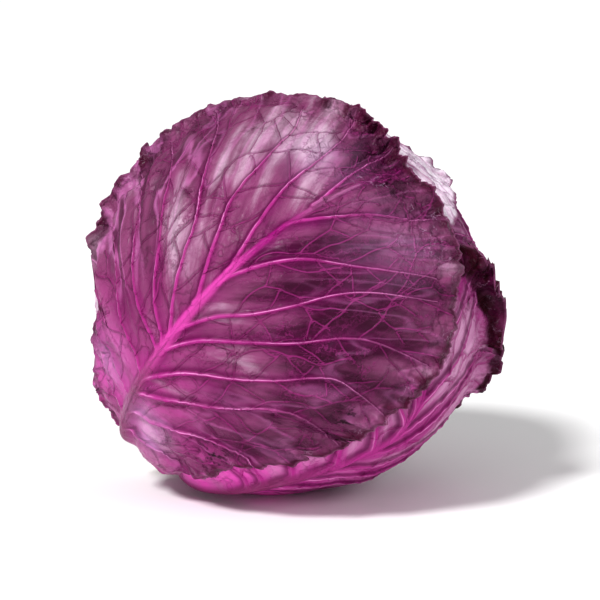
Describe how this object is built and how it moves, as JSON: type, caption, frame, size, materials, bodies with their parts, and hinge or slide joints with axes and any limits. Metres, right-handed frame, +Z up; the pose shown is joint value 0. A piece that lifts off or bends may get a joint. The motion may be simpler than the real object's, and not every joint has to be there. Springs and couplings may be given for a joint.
{
  "type": "red cabbage head",
  "caption": "Red cabbage head lying on its side, a tight round heart wrapped in loose veined leaves with waved margins, and a short cut stalk.",
  "frame": {"origin": "under the middle of the head's bounding box, on the surface it rests on", "axes": "+Z up from the surface; -Y towards the picture's viewer, who looks at the large front leaf; +X to the viewer's right. The stalk points to -X, +Y and -Z"},
  "size_m": [0.1753, 0.166, 0.1695],
  "materials": {
    "inner_head": "satin",
    "cut_stalk": "matte",
    "leaf_front": "satin",
    "leaf_under": "satin",
    "leaf_top": "satin",
    "leaf_back": "satin"
  },
  "bodies": {
    "root": {"inner_head": "inner_head", "cut_stalk": "cut_stalk", "wrapper_leaf_front": "leaf_front", "wrapper_leaf_under": "leaf_under", "wrapper_leaf_top": "leaf_top", "wrapper_leaf_back_low": "leaf_back", "wrapper_leaf_back_high": "leaf_back"}
  },
  "joints": []
}
